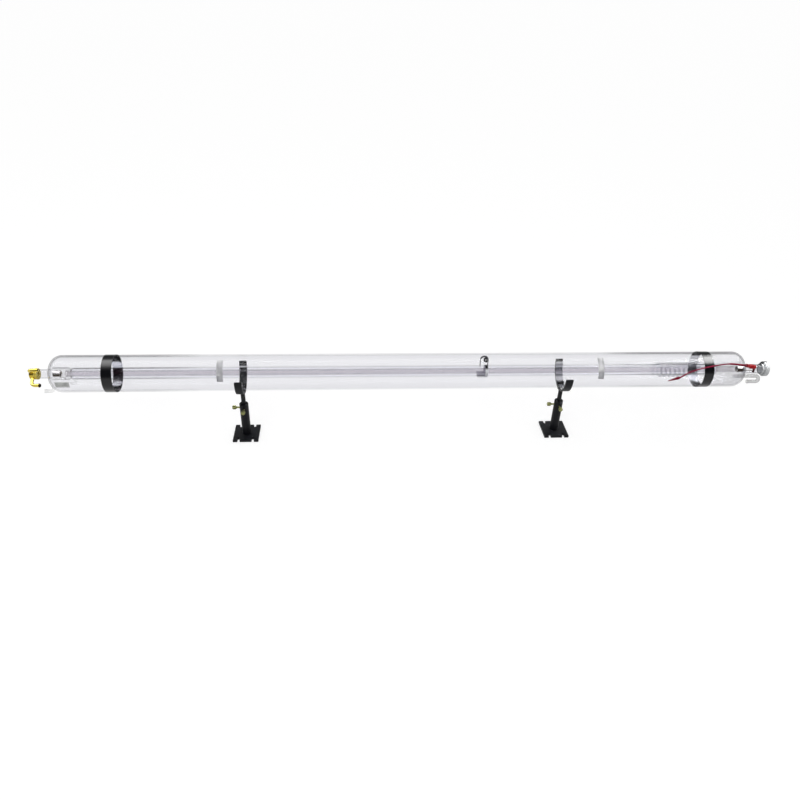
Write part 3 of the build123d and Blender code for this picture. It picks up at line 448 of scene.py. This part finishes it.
# Ribbed rubber: black, with paler bands that show through the glass, painted reflections of the
# glass's highlights.
front_rubber = lined_rubber("front_ribbed_rubber", [
    (-40, "#101113"), (-20, "#101113"), (-17, "#8A8A8C"), (-15, "#101113"), (-11, "#101113"),
    (-9.5, "#FFFFFF"), (-7, "#FFFFFF"), (-6, "#101113"), (6, "#202124")])
rear_rubber = lined_rubber("rear_ribbed_rubber", [
    (-40, "#101113"), (-38, "#101113"), (-36, "#F4F4F4"), (-33, "#F4F4F4"), (-29, "#8E9092"),
    (-25, "#FAFAFA"), (-20, "#9A9C9E"), (-15, "#A0A2A4"), (-12, "#F4F4F6"), (-8, "#B4B6B8"),
    (-5, "#FFFFFF"), (-3, "#FFFFFF"), (-1, "#6E7074"), (6, "#606266")])
# Moulded rubber seal: soft black with no shine.
black_rubber = moulded("black_rubber", "#141518", "#1E1F23", roughness=0.6, grit=0.0009,
                       depth=0.00005)
# Silicone boot: bright red, and dark brown down its leg.
red_silicone = boot_silicone("red_silicone", [
    (0, "#34100F"), (7.5, "#481214"), (9.5, "#A00A14"), (30, "#AA0B15")])
# Extruded insulation: a thin crimson line.
red_insulation = moulded("dark_red_insulation", "#7C0C30", "#96163E", roughness=0.42, grit=0.002,
                         depth=0.00002, ior=1.15)
# Heat shrink: a slightly darker red with a faint orange-peel skin.
red_shrink = moulded("dark_red_heat_shrink", "#6E0A24", "#82102E", roughness=0.4, grit=0.0015,
                     depth=0.00003, ior=1.15)
# Fired enamel print, thin and mottled: mid grey blocks.
fired_print = moulded("fired_dark_print", "#84848A", "#B8B8BC", roughness=0.6, grit=0.002,
                      depth=0.00001)
# The same enamel laid thinner: pale grey, more mottled.
pale_print = moulded("fired_pale_print", "#A8A8AC", "#DEDEE0", roughness=0.6, grit=0.0024,
                     depth=0.00001)
# Bare label: an even pale grey.
label_print = moulded("fired_grey_print", "#CCCECC", "#D8DAD8", roughness=0.6, grit=0.001,
                      depth=0.00001)
# Bare field inside it: one step darker and mottled.
label_field = moulded("fired_grey_field", "#ACAEAC", "#CACCCA", roughness=0.6, grit=0.0016,
                      depth=0.00001)

FINISHES = {
    glass_outer: ["outer_envelope"],
    glass_jacket: ["water_jacket"],
    glass_chamber: ["front_chamber"],
    glass_outlet: ["front_water_arm"],
    glass_hairpin: ["rear_water_arm"],
    glass_bore: ["discharge_tube"],
    glass_coil: ["gas_return_coil"],
    gold_plate: ["head_body", "retaining_ring", "upper_head_nozzle"],
    satin_gold: ["head_flange"],
    gold_painted_mouth_shade: ["lower_head_nozzle"],
    cathode_sheet: ["cathode_cylinder", "cathode_lead"],
    anode_sheet: ["anode_cylinder", "anode_lead"],
    spring_steel: ["mid_support"],
    satin_aluminium: ["rear_collar", "rear_cap"],
    coated_optic: ["output_mirror", "rear_mirror"],
    black_rubber: ["mirror_seal"],
    front_rubber: ["front_cradle_lining"],
    rear_rubber: ["rear_cradle_lining"],
    front_tape: ["front_band"],
    rear_tape: ["rear_band"],
    red_silicone: ["hv_boot"],
    red_shrink: ["hv_lead_sleeve"],
    black_anodised: ["front_cradle", "rear_cradle", "front_column", "rear_column",
                     "front_base_plate", "rear_base_plate"],
    black_steel: ["front_rod", "rear_rod", "front_base_screw", "rear_base_screw"],
    zinc_steel: ["front_cradle_screw", "rear_cradle_screw", "front_cradle_washer",
                 "rear_cradle_washer"],
    turned_brass: ["front_end_thumbscrew", "front_side_thumbscrew", "rear_end_thumbscrew",
                   "rear_side_thumbscrew"],
}
for material, names in FINISHES.items():
    for name in names:
        nodes[name].data.materials.clear()
        nodes[name].data.materials.append(material)


# ---- Camera ----------------------------------------------------------------------
def point_camera():
    turn, tilt, roll = radians(CAMERA_TURN), radians(CAMERA_TILT), radians(CAMERA_ROLL)
    forward = Vector((sin(turn) * cos(tilt), cos(turn) * cos(tilt), -sin(tilt)))
    right = Vector((cos(turn), -sin(turn), 0))
    up = right.cross(forward)
    right, up = right * cos(roll) + up * sin(roll), up * cos(roll) - right * sin(roll)
    data = bpy.data.cameras.new("camera")
    data.lens = CAMERA_LENS
    data.clip_end = 50
    camera = bpy.data.objects.new("camera", data)
    turned = Matrix((right, up, -forward)).transposed().to_4x4()
    x, y, height = CAMERA_PLACE
    camera.matrix_world = Matrix.Translation((x, y, AXIS_Z + height)) @ turned
    bpy.context.collection.objects.link(camera)
    bpy.context.scene.camera = camera


point_camera()


# ---- High-voltage lead -------------------------------------------------------------
def lead_curve(name, radius, material):
    curve = bpy.data.curves.new(name, "CURVE")
    curve.dimensions = "3D"
    spline = curve.splines.new("NURBS")
    spline.points.add(len(LEAD_ROUTE) - 1)
    for point, (x, y, height) in zip(spline.points, LEAD_ROUTE):
        point.co = (x, y, AXIS_Z + height, 1)
        point.radius = radius
    spline.order_u = 3
    spline.use_endpoint_u = True
    spline.resolution_u = 12
    curve.bevel_depth = 1.0     # each point's own radius sets the thickness
    curve.bevel_resolution = 6
    curve.use_fill_caps = True
    curve.materials.append(material)
    piece = bpy.data.objects.new(name, curve)
    bpy.context.collection.objects.link(piece)
    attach(piece, "tube")
    return piece


lead = lead_curve("lead", LEAD_RADIUS, red_insulation)
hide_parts("hv_lead")

cover = lead_curve("lead_cover", COVER_RADIUS, red_shrink)
cover.data.bevel_factor_start, cover.data.bevel_factor_end = COVER_SPAN
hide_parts("hv_lead_cover")

boot_nose = lead_curve("boot_nose", NOSE_RADIUS, red_silicone)
boot_nose.data.bevel_factor_end = NOSE_END


# ---- Curl of the support's spring --------------------------------------------------
def spring_curl():
    """The strip's free end, rolled up under the bow: a ring drawn out sideways, then thickened."""
    mesh = bpy.data.meshes.new("spring_curl")
    shape = bmesh.new()
    ring = bmesh.ops.create_circle(shape, segments=CURL_SIDES, radius=CURL_RADIUS)["verts"]
    bmesh.ops.rotate(shape, verts=ring, cent=(0, 0, 0), matrix=Matrix.Rotation(pi / 2, 3, "X"))
    bmesh.ops.translate(shape, verts=ring, vec=(CURL_X, -CURL_WIDTH / 2, AXIS_Z + CURL_LIFT))
    drawn = bmesh.ops.extrude_edge_only(shape, edges=shape.edges[:])["geom"]
    far_rim = [part for part in drawn if isinstance(part, bmesh.types.BMVert)]
    bmesh.ops.translate(shape, verts=far_rim, vec=(0, CURL_WIDTH, 0))
    bmesh.ops.recalc_face_normals(shape, faces=shape.faces)
    bmesh.ops.solidify(shape, geom=shape.faces[:], thickness=CURL_SHEET)
    shape.to_mesh(mesh)
    shape.free()
    mesh.materials.append(spring_steel)
    curl = bpy.data.objects.new("spring_curl", mesh)
    bpy.context.collection.objects.link(curl)
    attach(curl, "tube")


spring_curl()


# ---- Prints on the glass -----------------------------------------------------------
def printed_patch(name, start, end, low, high, material, lift=PRINT_LIFT):
    """A curved patch of print: a line along the tube, spun over an arc of the glass."""
    mesh = bpy.data.meshes.new(name)
    shape = bmesh.new()
    radius = GLASS_RADIUS + lift
    place = [Vector((at, -radius * cos(radians(low)), AXIS_Z + radius * sin(radians(low))))
             for at in (start, end)]
    edge = shape.edges.new([shape.verts.new(point) for point in place])
    bmesh.ops.spin(shape, geom=[edge] + list(edge.verts), cent=(0, 0, AXIS_Z), axis=(1, 0, 0),
                   angle=-radians(high - low), steps=max(6, int((high - low) / 2)))
    bmesh.ops.recalc_face_normals(shape, faces=shape.faces)
    bmesh.ops.solidify(shape, geom=shape.faces[:], thickness=PRINT_THICKNESS)
    shape.to_mesh(mesh)
    shape.free()
    mesh.materials.append(material)
    mesh.shade_smooth()
    piece = bpy.data.objects.new(name, mesh)
    bpy.context.collection.objects.link(piece)
    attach(piece, "tube")


PRINT_COLOURS = {"mark": pale_print, "block": fired_print, "label": label_print}
for name, start, end, low, high in PRINTS:
    printed_patch(name, start, end, low, high, PRINT_COLOURS[name.split("_")[-1]])
name, start, end, low, high = PRINTS[-1]
printed_patch("bare_field", start + FIELD_MARGIN, end - FIELD_INSET, FIELD_LOW,
              high - FIELD_TOP_GAP, label_field, 2 * PRINT_LIFT)

# ---- Floor, light and surroundings ---------------------------------------------------
def pale_floor():
    """White paper that keeps the shadows; its glow is only for the eye, mirrors and glass."""
    mesh = bpy.data.meshes.new("floor")
    shape = bmesh.new()
    bmesh.ops.create_grid(shape, x_segments=1, y_segments=1, size=30)
    shape.to_mesh(mesh)
    shape.free()
    material, tree = new_material("white_paper_floor")
    path = add(tree, "ShaderNodeLightPath").outputs
    seen = add(tree, "ShaderNodeMath", {0: path["Is Camera Ray"], 1: path["Is Glossy Ray"]},
               operation="MAXIMUM").outputs[0]
    seen = add(tree, "ShaderNodeMath", {0: seen, 1: path["Is Transmission Ray"]},
               operation="MAXIMUM").outputs[0]
    paper = add(tree, "ShaderNodeBsdfDiffuse", {"Color": linear("#A6A6A6")}).outputs["BSDF"]
    strength = add(tree, "ShaderNodeMath", {0: seen, 1: FLOOR_GLOW},
                   operation="MULTIPLY").outputs[0]
    glow = add(tree, "ShaderNodeEmission", {"Color": linear("#FFFFFF"), "Strength": strength})
    both = add(tree, "ShaderNodeAddShader")
    tree.links.new(paper, both.inputs[0])
    tree.links.new(glow.outputs["Emission"], both.inputs[1])
    show(tree, both.outputs["Shader"])
    mesh.materials.append(material)
    floor = bpy.data.objects.new("floor", mesh)
    bpy.context.collection.objects.link(floor)


def soft_box(name, place, aim, width, height, power, mirrored=False):
    """A soft box; one that is mirrored is seen by polished surfaces and gives no other light."""
    data = bpy.data.lights.new(name, "AREA")
    data.shape = "RECTANGLE"
    data.size = width
    data.size_y = height
    data.energy = power
    lamp = bpy.data.objects.new(name, data)
    direction = Vector(aim) - Vector(place)
    turned = direction.to_track_quat("-Z", "Y").to_matrix().to_4x4()
    lamp.matrix_world = Matrix.Translation(place) @ turned
    lamp.visible_glossy = mirrored
    lamp.visible_diffuse = not mirrored
    bpy.context.collection.objects.link(lamp)


def grey_room():
    """Even grey light, white to the eye; mirrors see a dark room with a long soft box overhead."""
    world = bpy.data.worlds.new("grey_room")
    world.use_nodes = True
    tree = world.node_tree
    tree.nodes.clear()
    axes = add(tree, "ShaderNodeSeparateXYZ",
               {"Vector": add(tree, "ShaderNodeTexCoord").outputs["Generated"]}).outputs
    turn = add(tree, "ShaderNodeMath", {0: axes["Z"], 1: axes["Y"]}, operation="ARCTAN2").outputs[0]
    share = add(tree, "ShaderNodeMath", {0: turn, 1: pi}, operation="DIVIDE").outputs[0]
    room = add(tree, "ShaderNodeValToRGB", {"Fac": share})
    stops = [(0.0, 0.5), (0.11, 0.1), (0.25, 0.45), (0.30, 1.3), (0.335, 4.4), (0.38, 7.6),
             (0.47, 7.6), (0.55, 5.2), (0.59, 3.2), (0.62, 1.6), (0.66, 0.7), (0.70, 0.3),
             (0.73, 0.12), (0.92, 0.12), (0.96, 0.3), (1.0, 0.8)]
    fill_ramp(room.color_ramp, [(at, [bright / ROOM_PEAK] * 3 + [1]) for at, bright in stops])
    path = add(tree, "ShaderNodeLightPath").outputs
    mirrored = add(tree, "ShaderNodeBackground",
                   {"Color": room.outputs["Color"], "Strength": ROOM_PEAK})
    even = add(tree, "ShaderNodeBackground", {"Color": linear("#FFFFFF"), "Strength": 0.75})
    seen = add(tree, "ShaderNodeBackground", {"Color": linear("#FFFFFF"), "Strength": 1.0})
    first = add(tree, "ShaderNodeMixShader", {"Fac": path["Is Glossy Ray"]})
    tree.links.new(even.outputs["Background"], first.inputs[1])
    tree.links.new(mirrored.outputs["Background"], first.inputs[2])
    last = add(tree, "ShaderNodeMixShader", {"Fac": path["Is Camera Ray"]})
    tree.links.new(first.outputs["Shader"], last.inputs[1])
    tree.links.new(seen.outputs["Background"], last.inputs[2])
    add(tree, "ShaderNodeOutputWorld", {"Surface": last.outputs["Shader"]})
    bpy.context.scene.world = world


pale_floor()
grey_room()
soft_box("key_light", (-0.6, -1.6, 1.9), aim=(0, 0, 0.15), width=1.6, height=1.0, power=12)
soft_box("rear_strip", (1.33, 0.0, 1.37), aim=(1.27, -0.2, 0.37), width=0.4, height=2.1,
         power=36, mirrored=True)
bpy.context.scene.view_settings.view_transform = "Standard"
bpy.context.scene.cycles.transparent_max_bounces = 64
